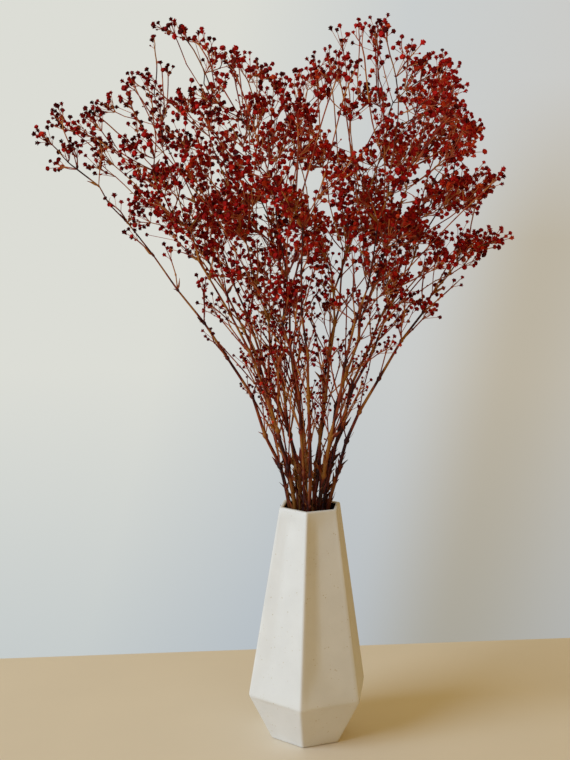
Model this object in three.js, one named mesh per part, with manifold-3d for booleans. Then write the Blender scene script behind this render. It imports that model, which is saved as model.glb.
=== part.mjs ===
// Dark red preserved gypsophila, fifteen sprays standing in a faceted ceramic vase.
// Millimetres, +Z up. The origin is the centre of the vase's base, and one corner of the vase
// points to -Y.

import * as THREE from "three";
import { mergeVertices } from "three/addons/utils/BufferGeometryUtils.js";
import Module from "manifold-3d";

const wasm = await Module();
wasm.setup();

// Driving dimensions of the vase
const VASE_SIDES = 6;
const VASE_HEIGHT = 200;
const RIM_RADIUS = 27.6;
const BELLY_RADIUS = 54.2;
const BELLY_HEIGHT = 41.4;
const BASE_RADIUS = 32.3;
const RIM_WALL = 4;
const VASE_WALL = 4.6;
const FLOOR_THICKNESS = 5;
const EDGE_EASE = 0.8;

// Driving dimensions of the bouquet. An outermost stem stands MOUTH_REACH from the vase's axis at
// the rim, and LEAN * rise + ARCH * rise ** ARCH_POWER farther out at that rise above it, with
// DEPTH_SHARE of that front to back. GATHER and TWIST are shares of the reach per mm below the rim.
const SPRAY_COUNT = 15;
const BOUQUET_TURN = THREE.MathUtils.degToRad(7.3);
const STEM_TURN = THREE.MathUtils.degToRad(55);
const STEM_SPREAD = 0.34;
const MOUTH_REACH = 17.6;
const LEAN = 0.16;
const ARCH = 0.0107;
const ARCH_POWER = 1.69;
const DEPTH_SHARE = 0.5;
const GATHER = 0.006;
const TWIST = 0.0055;
const CLOUD_REACH = 0.92;
const THINNEST_CLOUD = 0.17;
const SEAT_GAP = 0.3;
const NEIGHBOUR_GAP = 0.4;

// Driving dimensions of one spray. A shoot runs on until the tips it bears spread past FORK_ANGLE.
const STEM_SIDES = 5;
const TWIG_SIDES = 3;
const FOOT_THICKNESS = 3.8;
const TWIG_THICKNESS = 0.8;
const TAPER_LENGTH = 220;
const TAPER_SHARE = 0.62;
const NODE_SWELL = 1.4;
const SWOLLEN_SHARE = 0.2;
const FLORET_RADIUS = 4.2;
const FLORET_LENGTH = 6;
const BRACT_LENGTH = 11;
const BRACT_WIDTH = 3.2;
const BRACT_THICKNESS = 1;
const BRACT_WIDEST_AT = 0.45;
const BRACT_SHARE = 0.4;
const BRACT_SPREAD = THREE.MathUtils.degToRad(42);
const FORK_ANGLE = THREE.MathUtils.degToRad(50);
const SHORTEST_TWIG = 9;
const SHORTEST_STRETCH = 12;
const LONGEST_STRETCH = 48;
const FORK_STEP = 0.05;
const SIDEWAYS_POWER = 0.7;
const HEAD_RADIUS_PER_FLORET = 4;
const INNERMOST_FLORET = 0.6;
const OUTERMOST_FLORET = 1.05;
const FLORET_SPACING = 8.4;
const ROOT_SHARE = 0.48;
const SMALLEST_EDGE = 0.02;
const SETTLING_PASSES = 4;
const GOLDEN_ANGLE = Math.PI * (3 - Math.sqrt(5));
const GOLDEN_SHARE = 0.618034;
const SEED = 1871;

// Where the flower heads show to a viewer who stands in front, drawn on an upright sheet through
// the middle of the vase: [across, up, radius] of each head
const VIEWER = new THREE.Vector3(-22, -972, 441);
const FLOWER_HEADS = [
  // far left
  [-206, 516, 12], [-219, 500, 7], [-208, 476, 8], [-198, 491, 9], [-187, 505, 9],
  // upper left
  [-174, 481, 12], [-178, 516, 10], [-168, 524, 8], [-170, 494, 8], [-152, 529, 9],
  [-149, 543, 8], [-149, 495, 8], [-147, 483, 10], [-138, 547, 8], [-131, 538, 8],
  [-126, 522, 10], [-143, 511, 7], [-135, 500, 8], [-121, 503, 8], [-122, 472, 12],
  [-140, 465, 10], [-146, 448, 7], [-130, 450, 7], [-144, 434, 6], [-119, 586, 9],
  [-107, 584, 8], [-128, 577, 5], [-99, 578, 6], [-118, 554, 8], [-106, 527, 13],
  [-113, 470, 12],
  // top, left of the middle
  [-88, 577, 7], [-82, 562, 8], [-73, 567, 6], [-62, 564, 8], [-62, 552, 7],
  [-92, 533, 10], [-77, 544, 8], [-81, 521, 12], [-92, 511, 6], [-49, 558, 9],
  [-45, 552, 8], [-30, 545, 10], [-49, 527, 9], [-57, 514, 9], [-41, 526, 8],
  [-52, 484, 11], [-80, 488, 14], [-93, 478, 11], [-66, 500, 10], [-108, 498, 10],
  // middle
  [-17, 525, 10], [-19, 508, 13], [-3, 519, 8], [-3, 506, 8], [-9, 488, 12],
  [5, 492, 10], [-31, 489, 9], [-36, 505, 10], [-28, 470, 11], [-64, 470, 12],
  // top, right of the middle
  [-17, 546, 5], [-8, 548, 8], [-4, 562, 5], [5, 547, 9], [15, 552, 8],
  [11, 566, 6], [27, 558, 9], [21, 579, 8], [26, 584, 6], [35, 591, 5],
  [47, 588, 9], [57, 589, 6], [47, 580, 8], [52, 563, 6], [40, 536, 12],
  [54, 536, 6], [27, 524, 8], [58, 523, 5],
  // upper right
  [69, 576, 8], [80, 568, 9], [84, 554, 14], [100, 562, 7], [106, 553, 9],
  [103, 543, 9], [113, 545, 5], [74, 537, 11], [90, 535, 10], [105, 529, 9],
  [111, 529, 7], [91, 526, 7], [83, 514, 8], [104, 515, 10], [117, 519, 8],
  [123, 513, 8], [130, 508, 6], [114, 507, 7], [126, 494, 5], [113, 490, 10],
  [104, 496, 10], [91, 492, 12],
  // right
  [148, 472, 5], [135, 469, 11], [119, 467, 9], [109, 466, 10], [135, 459, 8],
  [130, 451, 9], [116, 453, 10], [104, 454, 12], [93, 465, 7], [88, 450, 8],
  [150, 424, 8], [143, 420, 8], [134, 424, 8], [127, 417, 9], [137, 412, 8],
  [120, 413, 6], [131, 406, 6], [103, 384, 5], [96, 367, 7], [86, 370, 5],
  [98, 420, 11], [106, 406, 10], [82, 430, 11], [88, 425, 8], [76, 437, 8],
  [70, 403, 8], [69, 387, 8], [64, 376, 7], [65, 355, 9], [75, 355, 6],
  // middle, right of the axis
  [68, 505, 10], [56, 503, 9], [74, 491, 14], [62, 489, 10], [70, 472, 12],
  [52, 451, 14], [55, 434, 14], [50, 427, 11], [65, 443, 7], [68, 427, 9],
  [45, 462, 10], [42, 489, 8], [30, 483, 8], [18, 485, 7], [47, 402, 6],
  [55, 393, 6], [27, 453, 12], [19, 470, 12], [23, 431, 11], [5, 434, 9],
  [9, 411, 8], [-4, 410, 7], [20, 371, 5], [9, 365, 6], [27, 332, 5],
  // middle, left of the axis
  [-24, 452, 12], [-14, 448, 12], [-11, 436, 10], [-31, 433, 11], [-30, 411, 10],
  [-27, 386, 6], [-12, 383, 5], [-16, 366, 6], [-89, 449, 13], [-77, 450, 12],
  [-68, 446, 10], [-55, 450, 10], [-47, 461, 10], [-38, 460, 8], [-55, 434, 10],
  [-65, 430, 10], [-76, 431, 10], [-88, 436, 9], [-85, 415, 8], [-52, 410, 8],
  [-87, 390, 6], [-65, 391, 8], [-43, 390, 8], [-38, 375, 6], [-55, 357, 6],
  [-33, 360, 6], [-109, 436, 7], [-122, 437, 5], [-113, 426, 6], [-38, 300, 4],
];

// Repeatable draws between 0 and 1
let drawState = SEED;
function draw() {
  drawState = (drawState + 0x6d2b79f5) | 0;
  let mixed = Math.imul(drawState ^ (drawState >>> 15), 1 | drawState);
  mixed = (mixed + Math.imul(mixed ^ (mixed >>> 7), 61 | mixed)) ^ mixed;
  return ((mixed ^ (mixed >>> 14)) >>> 0) / 4294967296;
}

// Closed solids from geometries and back

function toSolid(geometry) {
  const shell = geometry.clone();
  shell.deleteAttribute("normal");
  shell.deleteAttribute("uv");
  const closed = mergeVertices(shell, 1e-4);
  return new wasm.Manifold(new wasm.Mesh({
    numProp: 3,
    vertProperties: new Float32Array(closed.attributes.position.array),
    triVerts: new Uint32Array(closed.index.array),
  }));
}

function toGeometry(solid) {
  const mesh = solid.getMesh();
  const geometry = new THREE.BufferGeometry();
  geometry.setAttribute("position", new THREE.BufferAttribute(mesh.vertProperties, 3));
  geometry.setIndex(new THREE.BufferAttribute(mesh.triVerts, 1));
  return geometry;
}

// The vase: a hexagonal prism that tapers up from a low belly, hollow to a thick floor

function makeVase() {
  const outside = new THREE.LatheGeometry([
    new THREE.Vector2(0, 0),
    new THREE.Vector2(BASE_RADIUS - EDGE_EASE, 0),
    new THREE.Vector2(BASE_RADIUS, EDGE_EASE),
    new THREE.Vector2(BELLY_RADIUS - EDGE_EASE / 2, BELLY_HEIGHT - EDGE_EASE),
    new THREE.Vector2(BELLY_RADIUS - EDGE_EASE / 2, BELLY_HEIGHT + EDGE_EASE),
    new THREE.Vector2(RIM_RADIUS, VASE_HEIGHT - EDGE_EASE),
    new THREE.Vector2(RIM_RADIUS - EDGE_EASE, VASE_HEIGHT),
    new THREE.Vector2(RIM_RADIUS - RIM_WALL, VASE_HEIGHT),
    new THREE.Vector2(BELLY_RADIUS - VASE_WALL - EDGE_EASE, BELLY_HEIGHT),
    new THREE.Vector2(BASE_RADIUS - VASE_WALL, FLOOR_THICKNESS),
    new THREE.Vector2(0, FLOOR_THICKNESS),
  ], VASE_SIDES);
  outside.rotateX(Math.PI / 2);
  return outside;
}

// The bouquet's own spread. A place is [acrossShare, depthShare, height], and a stem keeps its
// shares all the way up, so that stems arch apart without crossing. Inside the vase they run
// straight, gathered and twisted like a hand-tied bunch.

function archAt(rise) {
  return LEAN * rise + ARCH * Math.pow(rise, ARCH_POWER);
}

function toPoint([acrossShare, depthShare, height]) {
  const rise = height - VASE_HEIGHT;
  if (rise >= 0) {
    const arch = archAt(rise);
    return new THREE.Vector3(
      acrossShare * (MOUTH_REACH + arch), depthShare * (MOUTH_REACH + DEPTH_SHARE * arch), height);
  }
  const straight = MOUTH_REACH * (1 + GATHER * rise);
  const turned = MOUTH_REACH * TWIST * rise;
  return new THREE.Vector3(
    acrossShare * straight - depthShare * turned, depthShare * straight + acrossShare * turned,
    height);
}

function toShares(point) {
  const arch = archAt(Math.max(point.z - VASE_HEIGHT, 0));
  return [
    point.x / (MOUTH_REACH + arch), point.y / (MOUTH_REACH + DEPTH_SHARE * arch), point.z];
}

// One stem for each spray, set out like the seeds of a sunflower with a loose middle
function stemShares(number) {
  const reach = Math.pow((number + 0.5) / SPRAY_COUNT, STEM_SPREAD);
  const angle = STEM_TURN + number * GOLDEN_ANGLE;
  return [reach * Math.cos(angle), reach * Math.sin(angle)];
}
const STEMS = Array.from({ length: SPRAY_COUNT }, (_, number) => stemShares(number));

// The floret tips of one head, evenly round its middle, which is set back along the line of sight
function floretTips([across, up, radius], number) {
  const onSheet = new THREE.Vector3(across, 0, up);
  const [acrossShare] = toShares(onSheet);
  const room = Math.sqrt(Math.max(1 - acrossShare ** 2, THINNEST_CLOUD ** 2));
  const reach = CLOUD_REACH * room;
  const side = 2 * (((number + 1) * GOLDEN_SHARE) % 1) - 1;
  const depth = side * reach * (MOUTH_REACH + DEPTH_SHARE * archAt(up - VASE_HEIGHT));
  const middle = VIEWER.clone().lerp(onSheet, 1 + depth / -VIEWER.y);
  const count = Math.max(1, Math.round(radius / HEAD_RADIUS_PER_FLORET));
  const turn = 2 * Math.PI * draw();
  return Array.from({ length: count }, (_, tip) => {
    const height = 1 - (2 * (tip + 0.5)) / count;
    const angle = turn + tip * GOLDEN_ANGLE;
    const level = Math.sqrt(1 - height * height);
    const away = radius * THREE.MathUtils.lerp(INNERMOST_FLORET, OUTERMOST_FLORET, draw());
    return new THREE.Vector3(level * Math.cos(angle), level * Math.sin(angle), height)
      .multiplyScalar(away).add(middle);
  });
}

// Which stem bears a tip, and the tip moved just clear of the neighbouring sprays

function nearestStem([acrossShare, depthShare]) {
  let nearest = 0;
  STEMS.forEach(([stemAcross, stemDepth], number) => {
    const [bestAcross, bestDepth] = STEMS[nearest];
    const here = Math.hypot(acrossShare - stemAcross, depthShare - stemDepth);
    if (here < Math.hypot(acrossShare - bestAcross, depthShare - bestDepth)) nearest = number;
  });
  return nearest;
}

function keepClear(tip, owner) {
  const room = FLORET_RADIUS + NEIGHBOUR_GAP / 2;
  const [ownAcross, ownDepth] = STEMS[owner];
  for (let pass = 0; pass < SETTLING_PASSES; pass += 1) {
    STEMS.forEach(([otherAcross, otherDepth], number) => {
      if (number === owner) return;
      const arch = archAt(tip.z - VASE_HEIGHT);
      const border = new THREE.Vector2(
        (ownAcross - otherAcross) / (MOUTH_REACH + arch),
        (ownDepth - otherDepth) / (MOUTH_REACH + DEPTH_SHARE * arch));
      const middle = (ownAcross ** 2 + ownDepth ** 2 - otherAcross ** 2 - otherDepth ** 2) / 2;
      const inside = (tip.x * border.x + tip.y * border.y - middle) / border.length();
      if (inside >= room) return;
      border.normalize().multiplyScalar(room - inside);
      tip.x += border.x;
      tip.y += border.y;
    });
  }
  return tip;
}

// Branching. From a point on the stem, the shoot runs towards the middle of the tips it bears as
// long as they all lie within the fork angle, and there the ones farthest off its heading part from
// the rest.

function middleOf(points) {
  const middle = new THREE.Vector3();
  points.forEach((point) => middle.add(point));
  return middle.divideScalar(points.length);
}

// A shoot leaves its fork sideways and then curves up
function along(start, end, share) {
  const [fromAcross, fromDepth, fromHeight] = toShares(start);
  const [toAcross, toDepth, toHeight] = toShares(end);
  const sideways = Math.pow(share, SIDEWAYS_POWER);
  return toPoint([
    fromAcross + (toAcross - fromAcross) * sideways,
    fromDepth + (toDepth - fromDepth) * sideways,
    fromHeight + (toHeight - fromHeight) * share]);
}

function forkPoint(start, tips) {
  const middle = middleOf(tips);
  for (let share = 1 - FORK_STEP; share > FORK_STEP; share -= FORK_STEP) {
    const fork = along(start, middle, share);
    const ahead = middle.clone().sub(fork);
    const fits = tips.every((tip) => {
      const reach = tip.clone().sub(fork);
      return reach.length() > SHORTEST_TWIG && reach.angleTo(ahead) < FORK_ANGLE;
    });
    if (fits) return fork;
  }
  return start;
}

// The tips that lie nearer to the one farthest off the shoot's heading than to that heading
function splitTips(fork, tips) {
  const headings = tips.map((tip) => tip.clone().sub(fork).normalize());
  const ahead = middleOf(headings);
  const outermost = headings.reduce(
    (best, heading) => (heading.distanceTo(ahead) > best.distanceTo(ahead) ? heading : best));
  const isAside = headings.map((heading) => heading.distanceTo(outermost) < heading.distanceTo(ahead));
  return [tips.filter((_, tip) => isAside[tip]), tips.filter((_, tip) => !isAside[tip])];
}

// Each shoot is a list of { point, beyond, isFork }, where beyond counts the tips it still bears;
// the larger group of a fork carries on the same shoot, and the smaller starts a new one
function growShoots(start, allTips) {
  const shoots = [];
  const waiting = [{ start, tips: allTips, parent: allTips.length }];
  while (waiting.length > 0) {
    const { start: root, tips: rootTips, parent } = waiting.pop();
    const shoot = [{ point: root, beyond: rootTips.length, parent }];
    let here = root;
    let tips = rootTips;
    while (tips.length > 1) {
      const fork = forkPoint(here, tips);
      const stretch = fork.distanceTo(here);
      if (stretch > SHORTEST_STRETCH) {
        const steps = Math.ceil(stretch / LONGEST_STRETCH);
        for (let step = 1; step < steps; step += 1) {
          shoot.push({ point: along(here, fork, step / steps), beyond: tips.length });
        }
        shoot.push({ point: fork, beyond: tips.length, isFork: true });
        here = fork;
      }
      const groups = splitTips(here, tips).sort((a, b) => b.length - a.length);
      waiting.push({ start: here, tips: groups[1], parent: tips.length });
      tips = groups[0];
    }
    shoot.push({ point: tips[0], beyond: 1 });
    shoots.push(shoot);
  }
  return shoots;
}

// Solids of the shoots: a lathe turned on a straight axis and then bent along the shoot

function bendAlong(lathe, path, sides) {
  const position = lathe.attributes.position;
  const rings = path.length;
  const side = new THREE.Vector3(1, 0, 0);
  for (let ring = 0; ring < rings; ring += 1) {
    const before = path[Math.max(ring - 1, 0)].point;
    const after = path[Math.min(ring + 1, rings - 1)].point;
    const ahead = path[ring].level ? new THREE.Vector3(0, 0, 1) : after.clone().sub(before).normalize();
    side.addScaledVector(ahead, -side.dot(ahead)).normalize();
    const across = side.clone().cross(ahead);
    for (let column = 0; column <= sides; column += 1) {
      const vertex = column * rings + ring;
      const x = position.getX(vertex);
      const y = position.getZ(vertex);
      const placed = path[ring].point.clone().addScaledVector(side, x).addScaledVector(across, y);
      position.setXYZ(vertex, placed.x, placed.y, placed.z);
    }
  }
  return lathe;
}

function shootSolid(shoot, thicknessAt, sides) {
  const path = shoot.map((mark) => ({
    point: mark.point.clone(), radius: thicknessAt(mark) / 2, level: mark.level }));
  const [foot] = path;
  const tip = path.pop();
  const last = path[path.length - 1];
  const ahead = tip.point.clone().sub(last.point).normalize();
  const neck = tip.point.clone().addScaledVector(ahead, -FLORET_LENGTH / 2);
  path.push({ point: neck, radius: TWIG_THICKNESS / 2 });
  path.push({ point: tip.point, radius: FLORET_RADIUS });
  path.push({ point: tip.point.clone().addScaledVector(ahead, FLORET_LENGTH / 2), radius: 0 });
  if (foot.level) {
    path.unshift({ point: foot.point.clone(), radius: 0, level: true });
  } else {
    const back = path[1].point.clone().sub(foot.point).normalize();
    foot.radius = ROOT_SHARE * thicknessAt({ point: foot.point, beyond: shoot[0].parent }) / 2;
    path.unshift({ point: foot.point.clone().addScaledVector(back, -foot.radius), radius: 0 });
  }
  const profile = path.map((mark, ring) => new THREE.Vector2(mark.radius, ring));
  const lathe = bendAlong(new THREE.LatheGeometry(profile, sides), path, sides);
  return toSolid(lathe);
}

// A bract is a flat little spindle that stands out from a swollen node of the stem
function bractSolid(node, ahead, order, owner) {
  const lathe = new THREE.LatheGeometry([
    new THREE.Vector2(0, 0),
    new THREE.Vector2(BRACT_WIDTH / 2, BRACT_WIDEST_AT * BRACT_LENGTH),
    new THREE.Vector2(0, BRACT_LENGTH),
  ], TWIG_SIDES);
  lathe.scale(1, 1, BRACT_THICKNESS / BRACT_WIDTH);
  const outward = new THREE.Vector3(1, 0, 0).applyAxisAngle(
    new THREE.Vector3(0, 0, 1), order * GOLDEN_ANGLE);
  const heading = ahead.clone().multiplyScalar(Math.cos(BRACT_SPREAD))
    .addScaledVector(outward, Math.sin(BRACT_SPREAD));
  const end = keepClear(node.clone().addScaledVector(heading, BRACT_LENGTH), owner);
  const upright = new THREE.Vector3(0, 1, 0);
  const turn = new THREE.Quaternion().setFromUnitVectors(upright, end.sub(node).normalize());
  lathe.applyQuaternion(turn).translate(node.x, node.y, node.z);
  return toSolid(lathe);
}

function makeSpray(number, tips) {
  const [acrossShare, depthShare] = STEMS[number];
  const shoots = growShoots(toPoint([acrossShare, depthShare, VASE_HEIGHT]), tips);
  const foot = toPoint([acrossShare, depthShare, FLOOR_THICKNESS + SEAT_GAP]);
  const all = tips.length;
  const thicknessAt = ({ point, beyond, isFork }) => {
    const share = Math.log(beyond) / Math.log(all);
    const taper = THREE.MathUtils.clamp((point.z - VASE_HEIGHT) / TAPER_LENGTH, 0, 1);
    const grown = Math.pow(FOOT_THICKNESS / TWIG_THICKNESS, share) * (1 - TAPER_SHARE * taper);
    const plain = TWIG_THICKNESS * Math.max(grown, 1);
    return isFork && beyond > SWOLLEN_SHARE * all ? plain * NODE_SWELL : plain;
  };
  shoots[0].unshift({ point: foot, beyond: all, level: true });
  const solids = shoots.map(
    (shoot, order) => shootSolid(shoot, thicknessAt, order === 0 ? STEM_SIDES : TWIG_SIDES));
  shoots[0].forEach(({ point, beyond, isFork }, mark) => {
    if (!isFork || beyond < BRACT_SHARE * all) return;
    const ahead = point.clone().sub(shoots[0][mark - 1].point).normalize();
    solids.push(bractSolid(point, ahead, number + mark, number));
  });
  return toGeometry(wasm.Manifold.union(solids).simplify(SMALLEST_EDGE));
}

// Materials

const glazedStoneware = new THREE.MeshStandardMaterial({
  color: "#DEDBD2", roughness: 0.75, metalness: 0 });
const driedFlower = new THREE.MeshStandardMaterial({
  color: "#5E140E", roughness: 0.85, metalness: 0 });

// Assembly

const object = new THREE.Group();

const vase = new THREE.Mesh(makeVase(), glazedStoneware);
vase.name = "vase";
object.add(vase);

const bouquet = new THREE.Group();
bouquet.rotation.z = BOUQUET_TURN;
const borne = STEMS.map(() => []);
FLOWER_HEADS.flatMap(floretTips).forEach((drawn) => {
  const owner = nearestStem(toShares(drawn));
  const tip = keepClear(drawn, owner);
  const isCrowded = borne.flat().some((other) => other.distanceTo(tip) < FLORET_SPACING);
  if (!isCrowded) borne[owner].push(tip);
});
borne.forEach((tips, number) => {
  const spray = new THREE.Mesh(makeSpray(number, tips), driedFlower);
  spray.name = `spray_${String(number + 1).padStart(2, "0")}`;
  bouquet.add(spray);
});
object.add(bouquet);

export default object;
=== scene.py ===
"""The looks of a dark red preserved gypsophila bunch in a white faceted vase, round its CAD frame.

The bouquet grows as the CAD source grows it, from the same flower heads, stems and forks, and then
goes on into pedicels and single florets. Growth is worked out in millimetres, and each finished
mesh is scaled to metres.
"""

import functools
import math
import random
from dataclasses import dataclass

import bmesh
import bpy
from mathutils import Matrix, Vector, kdtree


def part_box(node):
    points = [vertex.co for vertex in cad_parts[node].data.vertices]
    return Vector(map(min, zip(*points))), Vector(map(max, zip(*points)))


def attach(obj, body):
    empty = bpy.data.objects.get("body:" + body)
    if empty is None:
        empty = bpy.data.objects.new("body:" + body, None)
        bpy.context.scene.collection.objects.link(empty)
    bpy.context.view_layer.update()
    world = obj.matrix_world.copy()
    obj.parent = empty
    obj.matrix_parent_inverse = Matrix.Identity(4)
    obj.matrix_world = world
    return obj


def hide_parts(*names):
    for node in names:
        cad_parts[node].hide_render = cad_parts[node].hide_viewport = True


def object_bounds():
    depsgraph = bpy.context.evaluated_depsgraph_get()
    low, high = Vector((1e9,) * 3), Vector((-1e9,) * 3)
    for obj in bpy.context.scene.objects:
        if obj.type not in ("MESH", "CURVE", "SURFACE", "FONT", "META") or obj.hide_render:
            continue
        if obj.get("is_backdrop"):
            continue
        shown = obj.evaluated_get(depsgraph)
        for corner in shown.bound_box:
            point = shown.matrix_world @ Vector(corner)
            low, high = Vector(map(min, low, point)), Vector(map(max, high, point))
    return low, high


bl_info = {
    "name": "Preserved gypsophila",
    "version": (1, 0, 0),
    "blender": (4, 5, 0),
    "location": "3D View > Sidebar > Gypsophila",
    "description": "Makes a bunch of preserved gypsophila in a faceted vase, and its stage",
    "category": "Object",
}

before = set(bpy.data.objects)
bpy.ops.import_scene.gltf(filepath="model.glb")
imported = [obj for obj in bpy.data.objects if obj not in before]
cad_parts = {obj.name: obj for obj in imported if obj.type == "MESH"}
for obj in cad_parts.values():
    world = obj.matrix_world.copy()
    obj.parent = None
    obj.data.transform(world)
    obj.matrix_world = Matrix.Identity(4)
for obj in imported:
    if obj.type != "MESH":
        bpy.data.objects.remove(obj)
CAD_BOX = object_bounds()
MM = 0.001

# Sizes of the vase, in millimetres, of which the height and the belly are the frame's. A face's
# dish is deepest at DEEPEST_ACROSS of its width, from DISH_FOOT of its height up to DISH_TOP short
# of its top. An edge that rises more than UPRIGHT_RISE is upright, and up to LEVEL_RISE level.
VASE_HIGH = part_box("vase")[1] / MM
VASE_SIDES = 6
VASE_HEIGHT = VASE_HIGH.z
BELLY_RADIUS = VASE_HIGH.y
BELLY_HEIGHT = 41.4
BASE_RADIUS = 32.3
RIM_RADIUS = 27.6
RIM_WALL = 4
VASE_WALL = 4.6
FLOOR_THICKNESS = 5
GLAZED_LIP = 1.5
DEEPEST_ACROSS = 1 / 3
DISH_FOOT = 0.2
DISH_TOP = 0.08
CUTS_ACROSS = 11
CUTS_UP = 19
LEVEL_RISE = 1
UPRIGHT_RISE = 9
EDGE_MARGIN = 0.1
TOLERANCE = 0.01
SHARP_EDGE = math.radians(12)
CHIP_PLACE = Vector((-9.5, -46.5, 41.5))

# Sizes of the bouquet's spread. An outermost stem stands MOUTH_REACH from the vase's axis at the
# rim, and LEAN * rise + ARCH * rise ** ARCH_POWER farther out at that rise above it, with
# DEPTH_SHARE of that front to back. GATHER and TWIST are shares of the reach per mm below the rim.
SPRAY_COUNT = 15
BOUQUET_TURN = math.radians(7.3)
STEM_TURN = math.radians(55)
STEM_SPREAD = 0.34
MOUTH_REACH = 17.6
LEAN = 0.16
ARCH = 0.0107
ARCH_POWER = 1.69
DEPTH_SHARE = 0.5
GATHER = 0.006
TWIST = 0.0055
CLOUD_REACH = 0.92
THINNEST_CLOUD = 0.17
SEAT_GAP = 0.3
NEIGHBOUR_GAP = 0.4
FORK_STEP = 0.05
SIDEWAYS_POWER = 0.7
SETTLING_PASSES = 4
GOLDEN_ANGLE = math.pi * (3 - math.sqrt(5))
GOLDEN_SHARE = 0.618034

# Sizes of the twigs that the frame has, and of the finer ones that they go on into
FOOT_THICKNESS = 3.8
TWIG_THICKNESS = 0.8
TAPER_LENGTH = 220
TAPER_SHARE = 0.62
SLIMNESS = 0.88
TIP_RADIUS = 4.2
TIP_SPACING = 8.4
HEAD_RADIUS_PER_TIP = 4
INNERMOST_TIP = 0.6
OUTERMOST_TIP = 1.05
BRACT_SHARE = 0.4
BRACT_SPREAD = math.radians(42)
CAD_SEED = 1871
LOOKS_SEED = 57

# The filling of the flower heads with single florets. They crowd to the outside of a head, and some
# stand in pairs. Looser heads lie between each head and its LOOSE_LINKS nearest. The bunch is
# fullest in its hearts, which are given as a place and its reaches, and thin in its crown.
INNERMOST_FLORET = 0.3
FLORET_CROWDING = 0.6
FLORET_SPACING = 1.2
TWIN_SHARE = 0.42
TWIN_GAP = (3.6, 5.5)
LONGEST_REACH = 20
LOOSE_LINKS = 5
LOOSE_REACH = 20
LOOSE_SHARE = 0.28
LOOSE_RISE = 3
OUTER_FULLNESS = 0.9
MIDDLE_FULLNESS = 1.9
HEARTS = (
    (Vector((0, 0, 470)), (160, 150, 125)),
    (Vector((96, 0, 508)), (58, 150, 80)))
CROWN_FULLNESS = 0.5
CROWN_HEIGHT = 530
CROWN_RISE = 50

# Side twigs leave the nodes of the stout shoots. The lowest run long and close to their stem, and
# the highest are short and stand well off. Low down there are more of them within CROWD_REACH of
# CROWD_PLACE. Their tips fill a ball that grows from TIP_ROOM with the root of their number.
STOUT = 1.15
SIDE_TWIG_HEIGHTS = (230, 470)
SIDE_TWIG_LENGTHS = (62, 24)
SIDE_TWIG_SPREADS = (math.radians(24), math.radians(44))
SIDE_TWIG_TIPS = (3, 8)
SIDE_TWIG_THICKNESS = 1.1
SIDE_TWIGS_PER_NODE = 2
CROWD_SIDE_TWIGS = 3
CROWD_PLACE = -20
CROWD_REACH = 26
LENGTH_VARIES = (0.6, 1.4)
SPREAD_VARIES = (0.6, 1.3)
TURN_VARIES = (-0.2, 0.2)
TIP_ROOM = 3.3
TIP_REACH = (0.4, 1)
SIDE_TWIG_SHARE = 0.7
SIDE_FLORET_SIZES = (0.68, 1)
SIDE_FLORET_HEIGHTS = (290, 420)

# Buds, scales, dry leaves and scraps of leaves, and how far each leans out, in radians. A scale's
# length grows with its shoot's thickness. The girth of leaves and the tint of buds are drawn too.
BUD_SHARE = 0.55
BUD_STALK = (3, 6)
BUD_LEAN = (0.4, 0.9)
BUD_SIZE = (1.1, 1.7)
BUD_TINT = (0, 0.6)
SCALE_LENGTH = (2.2, 4.5)
SCALE_LEAN = (0.5, 0.9)
SCALE_SHARE = 0.6
SCALE_GROWTH = 0.3
LEAF_LENGTH = (6, 13)
LEAF_GIRTH = (0.6, 1)
SCRAPS_PER_STEM = 18
SCRAP_RISE = (-14, 40)
SCRAP_LEAN = (0.15, 0.7)

# Shoots as tubes. NODE_PROFILE gives places along a swollen node, in thicknesses of the shoot, and
# how much of the swelling each has. TUBE_DETAIL gives, for each range of thickness, the tube's
# roundness and steps, and the girth that its bark reads.
NODE_PROFILE = ((-1.1, 0), (-0.5, 0.6), (0, 1), (0.4, 0.75), (0.9, 0.05))
NODE_NECK = 0.95
SLIMMEST_PROFILE = 1
SLIM_SWELL = 1.3
FOOT_FLARE = 1.3
TUBE_DETAIL = ((1.25, math.inf, 2, 3, 1), (0.7, 1.25, 1, 2, 0.5), (0, 0.7, 0, 2, 0))

# The florets' shapes and tint, given as its mean and spread, which grows paler towards the hearts
# and, as painted warm light from that side, paler to the right. A cup's foot and the ruffles of its
# rim are shares of its radius.
FLORET_KINDS = 6
CUP_FOOT = 0.12
RIM_FOLD = 0.92
RIM_REACH = (0.92, 1.06)
FOLD_RISE = 0.08
POINT_DROP = 0.06
RIM_RUFFLE = (-0.13, 0.13)
INNER_CUP = 0.74
BRACT_BROAD = 3.8
BRACT_SLENDER = 2.8
BRACT_FLATNESS = 0.55
BRACT_CURL = 0.22
SMALLEST_OPENNESS = 0.8
FLORET_SIZE = (0.82, 1.12)
FLORET_TALLNESS = (0.85, 1.15)
FLORET_LEAN = (0, 0.5)
TINT = (0.2, 0.18)
HEART_TINT = 0.34
PAINTED_LIGHT_REACH = 2500

# The stage, in metres, seen from where the photograph was taken
CAMERA_PLACE = Vector((0.1017, -0.9671, 0.4407))
CAMERA_TURN = BOUQUET_TURN
CAMERA_DIP = math.radians(7.96)
CAMERA_ROLL = math.radians(0.6)
CAMERA_LENS = 56.5
CAMERA_SENSOR = 36
TABLE_BACK = 0.199
TABLE_TURN = BOUQUET_TURN + math.radians(7.4)
TABLE_SIZE = 3.2
TABLE_THICKNESS = 0.03
KEY_PLACE = Vector((-2.75, -2.25, 1.97))
KEY_SIZE = 2.5
KEY_AIM = Vector((0, 0, 0.3))
KEY_COLOUR = "#C6DFFA"

# Room light from five sides, each brightest straight from its side and gone square to it
ROOM_LIGHT = (
    ((-1, 0, 0), "#A08F6E"), ((1, 0, 0), "#7E5A00"), ((0, -1, 0), "#805E00"),
    ((0, 1, 0), "#A19582"), ((0, 0, 1), "#A69764"))

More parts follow.
